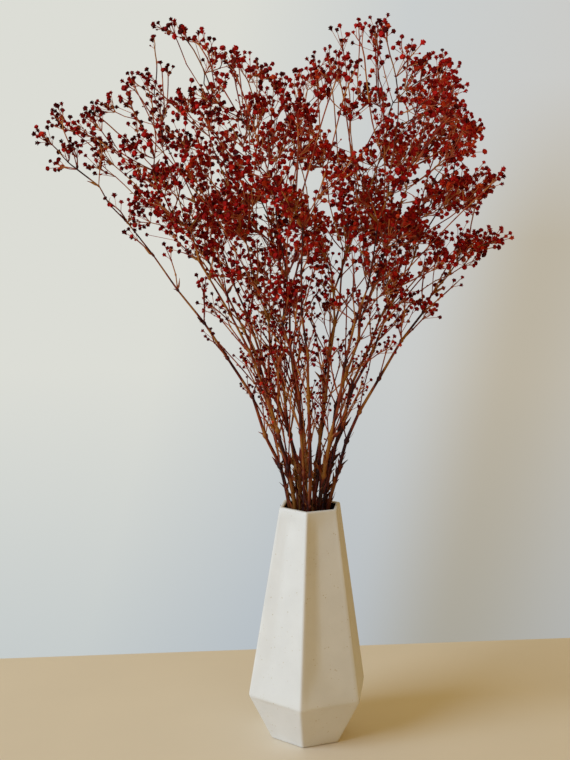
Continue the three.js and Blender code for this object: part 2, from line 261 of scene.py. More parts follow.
# Where the flower heads show to a viewer who stands in front, drawn on an upright sheet through
# the middle of the vase: (across, up, radius) of each head
VIEWER = Vector((-22, -972, 441))
FLOWER_HEADS = (
    # far left
    (-206, 516, 12), (-219, 500, 7), (-208, 476, 8), (-198, 491, 9), (-187, 505, 9),
    # upper left
    (-174, 481, 12), (-178, 516, 10), (-168, 524, 8), (-170, 494, 8), (-152, 529, 9),
    (-149, 543, 8), (-149, 495, 8), (-147, 483, 10), (-138, 547, 8), (-131, 538, 8),
    (-126, 522, 10), (-143, 511, 7), (-135, 500, 8), (-121, 503, 8), (-122, 472, 12),
    (-140, 465, 10), (-146, 448, 7), (-130, 450, 7), (-144, 434, 6), (-119, 586, 9),
    (-107, 584, 8), (-128, 577, 5), (-99, 578, 6), (-118, 554, 8), (-106, 527, 13),
    (-113, 470, 12),
    # top, left of the middle
    (-88, 577, 7), (-82, 562, 8), (-73, 567, 6), (-62, 564, 8), (-62, 552, 7),
    (-92, 533, 10), (-77, 544, 8), (-81, 521, 12), (-92, 511, 6), (-49, 558, 9),
    (-45, 552, 8), (-30, 545, 10), (-49, 527, 9), (-57, 514, 9), (-41, 526, 8),
    (-52, 484, 11), (-80, 488, 14), (-93, 478, 11), (-66, 500, 10), (-108, 498, 10),
    # middle
    (-17, 525, 10), (-19, 508, 13), (-3, 519, 8), (-3, 506, 8), (-9, 488, 12),
    (5, 492, 10), (-31, 489, 9), (-36, 505, 10), (-28, 470, 11), (-64, 470, 12),
    # top, right of the middle
    (-17, 546, 5), (-8, 548, 8), (-4, 562, 5), (5, 547, 9), (15, 552, 8),
    (11, 566, 6), (27, 558, 9), (21, 579, 8), (26, 584, 6), (35, 591, 5),
    (47, 588, 9), (57, 589, 6), (47, 580, 8), (52, 563, 6), (40, 536, 12),
    (54, 536, 6), (27, 524, 8), (58, 523, 5),
    # upper right
    (69, 576, 8), (80, 568, 9), (84, 554, 14), (100, 562, 7), (106, 553, 9),
    (103, 543, 9), (113, 545, 5), (74, 537, 11), (90, 535, 10), (105, 529, 9),
    (111, 529, 7), (91, 526, 7), (83, 514, 8), (104, 515, 10), (117, 519, 8),
    (123, 513, 8), (130, 508, 6), (114, 507, 7), (126, 494, 5), (113, 490, 10),
    (104, 496, 10), (91, 492, 12),
    # right
    (148, 472, 5), (135, 469, 11), (119, 467, 9), (109, 466, 10), (135, 459, 8),
    (130, 451, 9), (116, 453, 10), (104, 454, 12), (93, 465, 7), (88, 450, 8),
    (150, 424, 8), (143, 420, 8), (134, 424, 8), (127, 417, 9), (137, 412, 8),
    (120, 413, 6), (131, 406, 6), (103, 384, 5), (96, 367, 7), (86, 370, 5),
    (98, 420, 11), (106, 406, 10), (82, 430, 11), (88, 425, 8), (76, 437, 8),
    (70, 403, 8), (69, 387, 8), (64, 376, 7), (65, 355, 9), (75, 355, 6),
    # middle, right of the axis
    (68, 505, 10), (56, 503, 9), (74, 491, 14), (62, 489, 10), (70, 472, 12),
    (52, 451, 14), (55, 434, 14), (50, 427, 11), (65, 443, 7), (68, 427, 9),
    (45, 462, 10), (42, 489, 8), (30, 483, 8), (18, 485, 7), (47, 402, 6),
    (55, 393, 6), (27, 453, 12), (19, 470, 12), (23, 431, 11), (5, 434, 9),
    (9, 411, 8), (-4, 410, 7), (20, 371, 5), (9, 365, 6), (27, 332, 5),
    # middle, left of the axis
    (-24, 452, 12), (-14, 448, 12), (-11, 436, 10), (-31, 433, 11), (-30, 411, 10),
    (-27, 386, 6), (-12, 383, 5), (-16, 366, 6), (-89, 449, 13), (-77, 450, 12),
    (-68, 446, 10), (-55, 450, 10), (-47, 461, 10), (-38, 460, 8), (-55, 434, 10),
    (-65, 430, 10), (-76, 431, 10), (-88, 436, 9), (-85, 415, 8), (-52, 410, 8),
    (-87, 390, 6), (-65, 391, 8), (-43, 390, 8), (-38, 375, 6), (-55, 357, 6),
    (-33, 360, 6), (-109, 436, 7), (-122, 437, 5), (-113, 426, 6), (-38, 300, 4),
)


def linear(text):
    """Turns an sRGB hex colour into linear red, green, blue and full alpha."""
    shares = [int(text[start:start + 2], 16) / 255 for start in (1, 3, 5)]
    return [s / 12.92 if s <= 0.04045 else ((s + 0.055) / 1.055) ** 2.4 for s in shares] + [1.0]


def mixed(low, high, share):
    """The value that lies at that share of the way from low to high."""
    return low + (high - low) * share


def clamped(share):
    """The share, kept between 0 and 1."""
    return min(max(share, 0), 1)


# Settings that a user would change

COLOUR = {"subtype": "COLOR", "size": 4, "min": 0, "max": 1}
LENGTH = {"unit": "LENGTH", "precision": 5}


class VaseSettings(bpy.types.PropertyGroup):
    """The vase's softness and glaze."""

    edge_softness: bpy.props.FloatProperty(
        name="Edge softness", description="Width of the glaze's rounding along each edge",
        default=1.3 * MM, min=0.2 * MM, max=3 * MM, **LENGTH)
    face_dish: bpy.props.FloatProperty(
        name="Face dish", description="How far the middle of a tall face sinks in",
        default=3 * MM, min=0, max=5 * MM, **LENGTH)
    glaze: bpy.props.FloatVectorProperty(
        name="Glaze", description="Colour of the white glaze", default=linear("#E4E2DD"), **COLOUR)
    speckle: bpy.props.FloatVectorProperty(
        name="Speckle", description="Colour of the iron specks in the glaze",
        default=linear("#C6BBA4"), **COLOUR)


class StemSettings(bpy.types.PropertyGroup):
    """The stems' swelling, twigs and colours."""

    node_swell: bpy.props.FloatProperty(
        name="Node swelling", description="How many times its thickness a stem has at a fork",
        default=1.7, min=1, max=3)
    pedicel_thickness: bpy.props.FloatProperty(
        name="Pedicel thickness", description="Thickness of the finest twigs",
        default=0.42 * MM, min=0.1 * MM, max=1 * MM, **LENGTH)
    bark: bpy.props.FloatVectorProperty(
        name="Bark", description="Brown of most stems", default=linear("#9C6422"), **COLOUR)
    stain: bpy.props.FloatVectorProperty(
        name="Stain", description="Maroon where the dye has taken", default=linear("#340A09"),
        **COLOUR)


class FloretSettings(bpy.types.PropertyGroup):
    """The florets' size, number and dye."""

    diameter: bpy.props.FloatProperty(
        name="Floret diameter", description="Width of a middling floret",
        default=4.9 * MM, min=1 * MM, max=8 * MM, **LENGTH)
    fullness: bpy.props.FloatProperty(
        name="Fullness", description="Florets in a head of 10 mm radius", default=11.6, min=2,
        max=40)
    deep: bpy.props.FloatVectorProperty(
        name="Deep dye", description="Colour of the darkest florets", default=linear("#480507"),
        **COLOUR)
    dye: bpy.props.FloatVectorProperty(
        name="Dye", description="Colour of most florets", default=linear("#B61510"), **COLOUR)
    # Florets on the right are drawn towards this colour as painted warm light.
    faded: bpy.props.FloatVectorProperty(
        name="Faded dye", description="Colour of the palest florets", default=linear("#CC4C1E"),
        **COLOUR)


class StageSettings(bpy.types.PropertyGroup):
    """The table, the wall and the light."""

    table: bpy.props.FloatVectorProperty(
        name="Table", description="Colour of the table top", default=linear("#E6D8C3"), **COLOUR)
    window_side: bpy.props.FloatVectorProperty(
        name="Wall on the left", description="Colour of the wall near the window",
        default=linear("#DCDDD6"), **COLOUR)
    far_side: bpy.props.FloatVectorProperty(
        name="Wall on the right", description="Colour of the wall far from the window",
        default=linear("#CBCBC8"), **COLOUR)
    key_power: bpy.props.FloatProperty(
        name="Window light", description="Power of the light from the left, in watts", default=142,
        min=0, max=500)


# Growth of the bouquet

@dataclass
class Mark:
    """A place on a shoot, with the number of tips that it still bears and its thickness."""

    point: Vector
    beyond: int
    is_node: bool = False
    thickness: float = 0


@dataclass
class Habit:
    """How far a shoot runs before it forks."""

    fork_angle: float
    shortest_twig: float
    shortest_stretch: float
    longest_stretch: float
    wander: float


FRAME_HABIT = Habit(math.radians(50), 9, 12, 36, 2.9)
CYME_HABIT = Habit(math.radians(44), 5.5, 3, 24, 0.3)


@dataclass
class Spray:
    """All that one stem bears: its shoots, and places and headings of florets, buds and bracts."""

    shoots: list
    florets: list
    buds: list
    bracts: list


class Draws:
    """Repeatable draws between 0 and 1, the same as the CAD source makes."""

    def __init__(self, seed):
        self.state = seed

    def next(self):
        whole = 0xFFFFFFFF
        self.state = (self.state + 0x6D2B79F5) & whole
        value = ((self.state ^ (self.state >> 15)) * (1 | self.state)) & whole
        value = ((value + (value ^ (value >> 7)) * (61 | value)) & whole) ^ value
        return (value ^ (value >> 14)) / (whole + 1)


def arch_at(rise):
    return LEAN * rise + ARCH * rise ** ARCH_POWER


def to_point(across_share, depth_share, height):
    rise = height - VASE_HEIGHT
    if rise >= 0:
        arch = arch_at(rise)
        return Vector((
            across_share * (MOUTH_REACH + arch),
            depth_share * (MOUTH_REACH + DEPTH_SHARE * arch),
            height))
    straight = MOUTH_REACH * (1 + GATHER * rise)
    turned = MOUTH_REACH * TWIST * rise
    return Vector((
        across_share * straight - depth_share * turned,
        depth_share * straight + across_share * turned,
        height))


def to_shares(point):
    arch = arch_at(max(point.z - VASE_HEIGHT, 0))
    return (
        point.x / (MOUTH_REACH + arch), point.y / (MOUTH_REACH + DEPTH_SHARE * arch), point.z)


def stem_shares(number):
    """One stem for each spray, set out like the seeds of a sunflower with a loose middle."""
    reach = ((number + 0.5) / SPRAY_COUNT) ** STEM_SPREAD
    angle = STEM_TURN + number * GOLDEN_ANGLE
    return reach * math.cos(angle), reach * math.sin(angle)


STEMS = [stem_shares(number) for number in range(SPRAY_COUNT)]


def head_middle(head, number):
    """The middle of a flower head, set back along the line of sight."""
    across, up, _ = head
    on_sheet = Vector((across, 0, up))
    room = math.sqrt(max(1 - to_shares(on_sheet)[0] ** 2, THINNEST_CLOUD ** 2))
    side = 2 * (((number + 1) * GOLDEN_SHARE) % 1) - 1
    depth = side * CLOUD_REACH * room * (MOUTH_REACH + DEPTH_SHARE * arch_at(up - VASE_HEIGHT))
    return VIEWER.lerp(on_sheet, 1 + depth / -VIEWER.y)


def round_middle(middle, count, turn, reach):
    """Places evenly round a middle, each as far from it as the next call of reach says."""
    for tip in range(count):
        height = 1 - (2 * (tip + 0.5)) / count
        angle = turn + tip * GOLDEN_ANGLE
        level = math.sqrt(1 - height * height)
        away = Vector((level * math.cos(angle), level * math.sin(angle), height))
        yield middle + away * reach()


def nearest_stem(point):
    across, depth, _ = to_shares(point)
    return min(
        range(SPRAY_COUNT),
        key=lambda number: math.hypot(across - STEMS[number][0], depth - STEMS[number][1]))


def keep_clear(tip, owner, radius):
    """Moves a tip just clear of the neighbouring sprays."""
    room = radius + NEIGHBOUR_GAP / 2
    own_across, own_depth = STEMS[owner]
    for _ in range(SETTLING_PASSES):
        for number, (across, depth) in enumerate(STEMS):
            if number == owner:
                continue
            arch = arch_at(tip.z - VASE_HEIGHT)
            border = Vector((
                (own_across - across) / (MOUTH_REACH + arch),
                (own_depth - depth) / (MOUTH_REACH + DEPTH_SHARE * arch)))
            middle = (own_across ** 2 + own_depth ** 2 - across ** 2 - depth ** 2) / 2
            inside = (tip.x * border.x + tip.y * border.y - middle) / border.length
            if inside < room:
                border = border.normalized() * (room - inside)
                tip.x += border.x
                tip.y += border.y
    return tip


def frame_tips():
    """The tips that the CAD source gives each spray, in its order and from its draws."""
    draws = Draws(CAD_SEED)
    borne = [[] for _ in STEMS]
    kept = []
    for number, head in enumerate(FLOWER_HEADS):
        radius = head[2]
        count = max(1, math.floor(radius / HEAD_RADIUS_PER_TIP + 0.5))
        turn = math.tau * draws.next()
        middle = head_middle(head, number)
        for place in round_middle(
                middle, count, turn,
                lambda: radius * mixed(INNERMOST_TIP, OUTERMOST_TIP, draws.next())):
            owner = nearest_stem(place)
            tip = keep_clear(place, owner, TIP_RADIUS)
            if all((other - tip).length >= TIP_SPACING for other in kept):
                kept.append(tip)
                borne[owner].append(tip)
    return borne


def head_florets(draws, fullness):
    """Places for single florets that fill the heads, and more thinly the gaps between heads."""
    places = []
    heads = [(*head, 1) for head in FLOWER_HEADS] + loose_heads()
    for number, (across, up, radius, share) in enumerate(heads):
        middle = head_middle((across, up, radius), number)
        share *= mixed(OUTER_FULLNESS, MIDDLE_FULLNESS, nearness_to_heart(middle))
        share *= mixed(1, CROWN_FULLNESS, clamped((up - CROWN_HEIGHT) / CROWN_RISE))
        count = math.ceil(share * fullness * (radius / 10) ** 2)
        for place in round_middle(
                middle, count, draws.uniform(0, math.tau),
                lambda: radius * mixed(
                    INNERMOST_FLORET, OUTERMOST_TIP, draws.random() ** FLORET_CROWDING)):
            places.append(place)
            while draws.random() < TWIN_SHARE:
                aside = Vector(draws.gauss(0, 1) for _ in range(3)).normalized()
                places.append(place + aside * draws.uniform(*TWIN_GAP))
    return places


def loose_heads():
    """A looser head halfway from each head to its nearest ones, thinning out to the outside."""
    pairs = set()
    for number, head in enumerate(FLOWER_HEADS):
        nearest = sorted(
            range(len(FLOWER_HEADS)),
            key=lambda other: math.dist(head[:2], FLOWER_HEADS[other][:2]))
        pairs |= {(min(number, other), max(number, other)) for other in nearest[1:LOOSE_LINKS + 1]}
    heads = []
    for one, other in sorted(pairs):
        (across, up, _), (far_across, far_up, _) = FLOWER_HEADS[one], FLOWER_HEADS[other]
        radius = math.dist((across, up), (far_across, far_up)) / 2
        middle = Vector(((across + far_across) / 2, 0, (up + far_up) / 2))
        share = LOOSE_SHARE * min(1, LOOSE_RISE * nearness_to_heart(middle))
        if radius < LOOSE_REACH and share > 0:
            heads.append((middle.x, middle.z, radius, share))
    return heads


def nearness_to_heart(place):
    """1 in a crowded, warm and faded heart of the bunch, and 0 outside all hearts."""
    return max(0, *(
        1 - Vector(gap / reach for gap, reach in zip(place - heart, reaches)).length
        for heart, reaches in HEARTS))


def middle_of(points):
    return sum(points, Vector((0, 0, 0))) / len(points)


def along(start, end, share):
    """A shoot leaves its fork sideways and then curves up."""
    sideways = share ** SIDEWAYS_POWER
    from_across, from_depth, from_height = to_shares(start)
    to_across, to_depth, to_height = to_shares(end)
    return to_point(
        mixed(from_across, to_across, sideways),
        mixed(from_depth, to_depth, sideways),
        mixed(from_height, to_height, share))


def fork_point(start, tips, habit):
    middle = middle_of(tips)
    share = 1 - FORK_STEP
    while share > FORK_STEP:
        fork = along(start, middle, share)
        ahead = middle - fork
        reaches = [tip - fork for tip in tips]
        if ahead.length > 0 and all(
                reach.length > habit.shortest_twig and reach.angle(ahead) < habit.fork_angle
                for reach in reaches):
            return fork
        share -= FORK_STEP
    return start


def split_tips(fork, tips):
    """The tips that lie nearer to the one farthest off the shoot's heading than to that heading."""
    headings = [(tip - fork).normalized() for tip in tips]
    ahead = middle_of(headings)
    outermost = max(headings, key=lambda heading: (heading - ahead).length)
    aside, onward = [], []
    for tip, heading in zip(tips, headings):
        is_aside = (heading - outermost).length < (heading - ahead).length
        (aside if is_aside else onward).append(tip)
    if not aside or not onward:
        return tips[1:], tips[:1]
    return (aside, onward) if len(aside) >= len(onward) else (onward, aside)


def grow_shoots(start, all_tips, habit, draws):
    """Shoots as lists of marks. The larger group of a fork carries on the same shoot."""
    shoots = []
    waiting = [(start, start, all_tips)]
    while waiting:
        here, root, tips = waiting.pop()
        shoot = [Mark(root, len(tips))]
        while len(tips) > 1:
            fork = fork_point(here, tips, habit)
            stretch = (fork - here).length
            if stretch > habit.shortest_stretch:
                steps = math.ceil(stretch / habit.longest_stretch)
                for step in range(1, steps):
                    place = along(here, fork, step / steps)
                    shoot.append(Mark(wandering(place, habit, draws), len(tips), True))
                root = wandering(fork, habit, draws)
                shoot.append(Mark(root, len(tips), True))
                here = fork
            tips, aside = split_tips(here, tips)
            waiting.append((here, root, aside))
        shoot.append(Mark(tips[0], 1))
        shoots.append(shoot)
    return shoots


def wandering(place, habit, draws):
    """The place, a little off its smooth line."""
    return place + Vector(draws.uniform(-habit.wander, habit.wander) for _ in range(3))


def grow_spray(number, tips, clusters, pedicel, draws):
    """Grows one stem's shoots on the frame's tips, and goes on into the florets of each tip."""
    stem = STEMS[number]
    shoots = grow_shoots(to_point(*stem, VASE_HEIGHT), tips, FRAME_HABIT, draws)
    shoots[0].insert(0, Mark(to_point(*stem, FLOOR_THICKNESS + SEAT_GAP), len(tips)))
    for shoot in shoots:
        for mark in shoot:
            share = math.log(mark.beyond) / math.log(len(tips))
            taper = clamped((mark.point.z - VASE_HEIGHT) / TAPER_LENGTH)
            grown = (FOOT_THICKNESS / TWIG_THICKNESS) ** share * (1 - TAPER_SHARE * taper)
            mark.thickness = SLIMNESS * TWIG_THICKNESS * max(grown, 1)
    spray = Spray([], [], [], [])
    for order, shoot in enumerate(shoots):
        add_bracts(spray, shoot, number, order == 0, len(tips), draws)
        add_side_twigs(spray, shoot, pedicel, draws)
        tip = shoot.pop()
        florets = clusters.get(tuple(tip.point)) or [tip.point]
        cymes = grow_cyme(spray, shoot[-1].point, florets, TWIG_THICKNESS, pedicel, 1, draws)
        spray.shoots.append(shoot + cymes[0][1:])
        spray.shoots += cymes[1:]
    return spray


def grow_cyme(spray, start, tips, thickness, pedicel, size, draws):
    """Shoots that end in a floret each, with a bud at many of their forks."""
    cymes = grow_shoots(start, tips, CYME_HABIT, draws)
    for cyme in cymes:
        for mark in cyme:
            share = math.log(mark.beyond) / math.log(max(len(tips), 2))
            mark.thickness = pedicel * (thickness / pedicel) ** share
            if mark.is_node and draws.random() < BUD_SHARE:
                add_bud(spray, mark.point, cyme[-1].point - mark.point, pedicel, draws)
        heading = cyme[-1].point - cyme[-2].point
        spray.florets.append((cyme[-1].point, heading.normalized(), size))
    return cymes


def add_side_twigs(spray, shoot, pedicel, draws):
    """Adds side twigs with small florets at each stout node that isn't too low or too high."""
    low, high = SIDE_TWIG_HEIGHTS
    for order, mark in enumerate(shoot):
        if not mark.is_node or mark.thickness < STOUT or not low < mark.point.z < high:
            continue
        ahead = mark.point - shoot[order - 1].point
        share = (mark.point.z - low) / (high - low)
        turn = draws.uniform(0, math.tau)
        crowd = max(0, 1 - abs(mark.point.x - CROWD_PLACE) / CROWD_REACH)
        for side in range(SIDE_TWIGS_PER_NODE + round(CROWD_SIDE_TWIGS * crowd * (1 - share))):
            spread = mixed(*SIDE_TWIG_SPREADS, share) * draws.uniform(*SPREAD_VARIES)
            turned = turn + math.tau * (side + draws.uniform(*TURN_VARIES)) / SIDE_TWIGS_PER_NODE
            length = mixed(*SIDE_TWIG_LENGTHS, share) * draws.uniform(*LENGTH_VARIES)
            middle = mark.point + sideways_heading(ahead, spread, turned) * length
            if math.hypot(*to_shares(middle)[:2]) > 1:
                continue
            count = draws.randint(*SIDE_TWIG_TIPS)
            radius = TIP_ROOM * count ** 0.5
            tips = list(round_middle(
                middle, count, turn, lambda: radius * draws.uniform(*TIP_REACH)))
            least, most = SIDE_FLORET_HEIGHTS
            size = mixed(*SIDE_FLORET_SIZES, clamped((middle.z - least) / (most - least)))
            thickness = min(SIDE_TWIG_THICKNESS, SIDE_TWIG_SHARE * mark.thickness)
            spray.shoots += grow_cyme(spray, mark.point, tips, thickness, pedicel, size, draws)


def sideways_heading(ahead, spread, turn):
    """A heading that stands off a shoot's own by spread, at that turn round it."""
    side = ahead.orthogonal().normalized()
    side.rotate(Matrix.Rotation(turn, 3, ahead))
    return ahead.normalized() * math.cos(spread) + side * math.sin(spread)


def add_bud(spray, place, ahead, thickness, draws):
    """Adds a bud on its stalk."""
    heading = sideways_heading(ahead, draws.uniform(*BUD_LEAN), draws.uniform(0, math.tau))
    end = place + heading * draws.uniform(*BUD_STALK)
    spray.shoots.append([Mark(place, 1, False, thickness), Mark(end, 1, False, thickness)])
    spray.buds.append((end, heading))


def add_bracts(spray, shoot, number, is_stem, all_tips, draws):
    """Adds two small scales at each fork, a dry leaf at the main ones, and scraps low down."""
    for order, mark in enumerate(shoot):
        if not mark.is_node:
            continue
        ahead = mark.point - shoot[order - 1].point
        turn = draws.uniform(0, math.tau)
        for half_turn in (0, math.pi):
            heading = sideways_heading(ahead, draws.uniform(*SCALE_LEAN), turn + half_turn)
            length = draws.uniform(*SCALE_LENGTH) * (SCALE_SHARE + SCALE_GROWTH * mark.thickness)
            spray.bracts.append((mark.point, heading, length))
        if is_stem and mark.beyond >= BRACT_SHARE * all_tips:
            outward = Vector((1, 0, 0))
            outward.rotate(Matrix.Rotation((number + order) * GOLDEN_ANGLE, 3, "Z"))
            heading = ahead.normalized() * math.cos(BRACT_SPREAD) + outward * math.sin(BRACT_SPREAD)
            spray.bracts.append((mark.point, heading, draws.uniform(*LEAF_LENGTH)))
    if is_stem:
        ahead = shoot[2].point - shoot[1].point
        for _ in range(SCRAPS_PER_STEM):
            place = to_point(*STEMS[number], VASE_HEIGHT + draws.uniform(*SCRAP_RISE))
            heading = sideways_heading(
                ahead, draws.uniform(*SCRAP_LEAN), draws.uniform(0, math.tau))
            spray.bracts.append((place, heading, draws.uniform(*LEAF_LENGTH)))


@functools.cache
def grow_bouquet(pedicel, radius, fullness):
    """Every spray, the same each time for that thickness, radius and number of florets."""
    draws = random.Random(LOOKS_SEED)
    borne = frame_tips()
    tips = [(tip, owner) for owner, own in enumerate(borne) for tip in own]
    tree = kdtree.KDTree(len(tips))
    for number, (tip, _) in enumerate(tips):
        tree.insert(tip, number)
    tree.balance()
    clusters = {}
    for place in head_florets(draws, fullness):
        _, number, gap = tree.find(place)
        if gap > LONGEST_REACH:
            continue
        tip, owner = tips[number]
        floret = keep_clear(place, owner, radius)
        cluster = clusters.setdefault(tuple(tip), [])
        if all((other - floret).length > FLORET_SPACING * radius for other in cluster):
            cluster.append(floret)
    return [grow_spray(number, own, clusters, pedicel, draws) for number, own in enumerate(borne)]


def numbered_sprays(scene):
    """Each spray of the bouquet at the scene's settings, after its number."""
    florets = scene.gypsophila_florets
    pedicel = scene.gypsophila_stems.pedicel_thickness / MM
    return enumerate(grow_bouquet(pedicel, florets.diameter / MM / 2, florets.fullness), 1)


# Meshes

def link_object(scene, name, data):
    """A new object in the scene, of that mesh, light or camera."""
    made = bpy.data.objects.new(name, data)
    scene.collection.objects.link(made)
    return made


def to_mesh(name, mesh_maker):
    """The mesh that the mesh maker holds, which it frees."""
    mesh = bpy.data.meshes.new(name)
    mesh_maker.to_mesh(mesh)
    mesh_maker.free()
    return mesh


def finish_piece(scene, name, mesh_maker, node, slot, *materials):
    """Makes a closed mesh in millimetres into a finished piece that stands for a CAD node."""
    bmesh.ops.scale(mesh_maker, vec=(MM, MM, MM), verts=mesh_maker.verts)
    mesh = to_mesh(name, mesh_maker)
    for material in materials:
        mesh.materials.append(material)
    piece = link_object(scene, name, mesh)
    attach(piece, "root")
    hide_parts(node)


def finish_spray(scene, number, mesh_maker, kind, slot, material):
    """Turns a spray's mesh as the bouquet is turned, and finishes it."""
    turned = Matrix.Rotation(BOUQUET_TURN, 3, "Z")
    bmesh.ops.rotate(mesh_maker, verts=mesh_maker.verts, matrix=turned)
    node = f"spray_{number:02}"
    finish_piece(scene, f"{node}_{kind}", mesh_maker, node, slot, material)


def path_points(shoot, swell):
    """The places and thicknesses that a shoot's tube runs through, swelling shortly at forks."""
    points = []
    last = len(shoot) - 1
    for order, mark in enumerate(shoot):
        if order == 0 and last > 0:
            points.append((mark.point, min(mark.thickness, FOOT_FLARE * shoot[1].thickness)))
        elif not mark.is_node or mark.thickness < SLIMMEST_PROFILE:
            points.append((mark.point, mark.thickness * (SLIM_SWELL if mark.is_node else 1)))
        else:
            ahead = (shoot[min(order + 1, last)].point - shoot[order - 1].point).normalized()
            for share, bulge in NODE_PROFILE:
                thickness = mark.thickness * (NODE_NECK + (swell - NODE_NECK) * bulge)
                points.append((mark.point + ahead * share * mark.thickness, thickness))
    return points


def add_tubes(mesh_maker, shoots, swell, roundness, steps, girth):
    """Adds a smooth closed tube for each shoot, marked with how stout it is."""
    curve = bpy.data.curves.new("shoots", "CURVE")
    curve.dimensions = "3D"
    curve.bevel_depth = 1
    curve.bevel_resolution = roundness
    curve.resolution_u = steps
    curve.use_fill_caps = True
    for shoot in shoots:
        points = path_points(shoot, swell)
        spline = curve.splines.new("BEZIER")
        spline.bezier_points.add(len(points) - 1)
        for control, (place, thickness) in zip(spline.bezier_points, points):
            control.co = place
            control.radius = thickness / 2
            control.handle_left_type = "AUTO"
            control.handle_right_type = "AUTO"
    holder = bpy.data.objects.new("shoots", curve)
    tubes = bpy.data.meshes.new_from_object(holder)
    marks = tubes.attributes.new("girth", "FLOAT", "POINT")
    marks.data.foreach_set("value", [girth] * len(tubes.vertices))
    mesh_maker.from_mesh(tubes)
    bpy.data.meshes.remove(tubes)
    bpy.data.objects.remove(holder)
    bpy.data.curves.remove(curve)


def template(mesh_maker, name, layer):
    """A shape that is stamped many times, with a layer for what varies from stamp to stamp."""
    bmesh.ops.recalc_face_normals(mesh_maker, faces=mesh_maker.faces)
    mesh = to_mesh(name, mesh_maker)
    mesh.attributes.new(layer, "FLOAT", "POINT")
    return mesh


def stamp(mesh_maker, shape, place, heading, size, turn, layer, value):
    """Adds a copy of a template, its own up along the heading."""
    copy = shape.copy()
    turned = heading.to_track_quat("Z", "Y").to_matrix().to_4x4()
    spun = Matrix.Rotation(turn, 4, "Z")
    scaled = Matrix.Diagonal((*size, 1))
    copy.transform(Matrix.Translation(place) @ turned @ spun @ scaled)
    copy.attributes[layer].data.foreach_set("value", [value] * len(copy.vertices))
    mesh_maker.from_mesh(copy)
    bpy.data.meshes.remove(copy)


def add_cup(mesh_maker, folds, radius, low, high, hollow, draws):
    """A ruffled cup of petals: a cone on its point, with its lid pushed in and its rim folded."""
    made = bmesh.ops.create_cone(
        mesh_maker, cap_ends=True, cap_tris=True, segments=2 * folds, radius1=CUP_FOOT * radius,
        radius2=radius, depth=high - low)["verts"]
    bmesh.ops.translate(mesh_maker, verts=made, vec=(0, 0, (low + high) / 2))
    rim = [vert for vert in made if vert.co.z > high - TOLERANCE and vert.co.xy.length > radius / 2]
    rim.sort(key=lambda vert: math.atan2(vert.co.y, vert.co.x))
    for order, vert in enumerate(rim):
        is_fold = order % 2 == 1
        share = (RIM_FOLD if is_fold else 1) * draws.uniform(*RIM_REACH)
        vert.co.x *= share
        vert.co.y *= share
        rise = FOLD_RISE if is_fold else -POINT_DROP
        vert.co.z += rise * radius + draws.uniform(*RIM_RUFFLE) * radius
    lid = max((vert for vert in made if vert.co.xy.length < TOLERANCE), key=lambda vert: vert.co.z)
    lid.co.z = mixed(low, high, hollow)


def floret_template(order, draws):
    """A dried double floret, 2 across: a calyx, an outer cup of petals and a smaller one in it."""
    mesh_maker = bmesh.new()
    openness = mixed(SMALLEST_OPENNESS, 1, order / (FLORET_KINDS - 1))
    add_cup(mesh_maker, folds=5, radius=openness, low=-0.6, high=0.15, hollow=0.5, draws=draws)
    add_cup(
        mesh_maker, folds=4, radius=INNER_CUP * openness, low=-0.3, high=0.6, hollow=1,
        draws=draws)
    calyx = bmesh.ops.create_cone(
        mesh_maker, cap_ends=True, segments=4, radius1=0.14, radius2=0.42, depth=0.6)["verts"]
    bmesh.ops.translate(mesh_maker, verts=calyx, vec=(0, 0, -0.55))
    return template(mesh_maker, f"floret_{order}", "tint")


def bud_template():
    """A closed bud, 1 across and 1.5 tall."""
    mesh_maker = bmesh.new()
    bmesh.ops.create_icosphere(mesh_maker, subdivisions=1, radius=0.5)
    bmesh.ops.scale(mesh_maker, vec=(1, 1, 1.5), verts=mesh_maker.verts)
    return template(mesh_maker, "bud", "tint")


def bract_template():
    """A small dry leaf or scale, 1 long, widest below its middle and curled back at its point."""
    mesh_maker = bmesh.new()
    bmesh.ops.create_cone(
        mesh_maker, cap_ends=True, segments=6, radius1=0.05, radius2=0.02, depth=1)
    long_edges = [edge for edge in mesh_maker.edges if edge.calc_length() > 0.5]
    bmesh.ops.subdivide_edges(mesh_maker, edges=long_edges, cuts=2)
    bmesh.ops.translate(mesh_maker, verts=mesh_maker.verts, vec=(0, 0, 0.5))
    for vert in mesh_maker.verts:
        height = vert.co.z
        if 0.1 < height < 0.9:
            vert.co.x *= BRACT_BROAD if height < 0.5 else BRACT_SLENDER
        vert.co.y = BRACT_FLATNESS * vert.co.y + BRACT_CURL * height * height
    return template(mesh_maker, "bract", "girth")


class GYPSOPHILA_OT_make_vase(bpy.types.Operator):
    """Makes the hollow six-sided vase, with soft edges and slightly dished faces"""

    bl_idname = "gypsophila.make_vase"
    bl_label = "Make the vase"

    def execute(self, context):
        settings = context.scene.gypsophila_vase
        vase = bmesh.new()
        stack_rings(vase)
        bmesh.ops.recalc_face_normals(vase, faces=vase.faces)
        level = [
            edge for edge in vase.edges
            if rise_of(edge) <= LEVEL_RISE and edge.calc_length() > 2 * RIM_WALL]
        bmesh.ops.subdivide_edges(vase, edges=level, cuts=CUTS_ACROSS, use_grid_fill=True)
        tall = [edge for edge in vase.edges if rise_of(edge) > UPRIGHT_RISE]
        bmesh.ops.subdivide_edges(vase, edges=tall, cuts=CUTS_UP, use_grid_fill=True)
        edges = [
            edge for edge in vase.edges
            if len(edge.link_faces) == 2 and edge.calc_face_angle() > SHARP_EDGE]
        dish_faces(vase, settings.face_dish / MM)
        bmesh.ops.bevel(
            vase, geom=edges, offset=settings.edge_softness / MM, segments=3, profile=0.5,
            affect="EDGES", material=-1)
        for face in vase.faces:
            face.smooth = True
            # Faces of the hollow, below the lip, take the second material: its dark painted shade.
            face.material_index = is_inside(face)
        finish_piece(
            context.scene, "vase_shell", vase, "vase", "ceramic", white_glaze(settings),
            shaded_hollow())
        return {"FINISHED"}


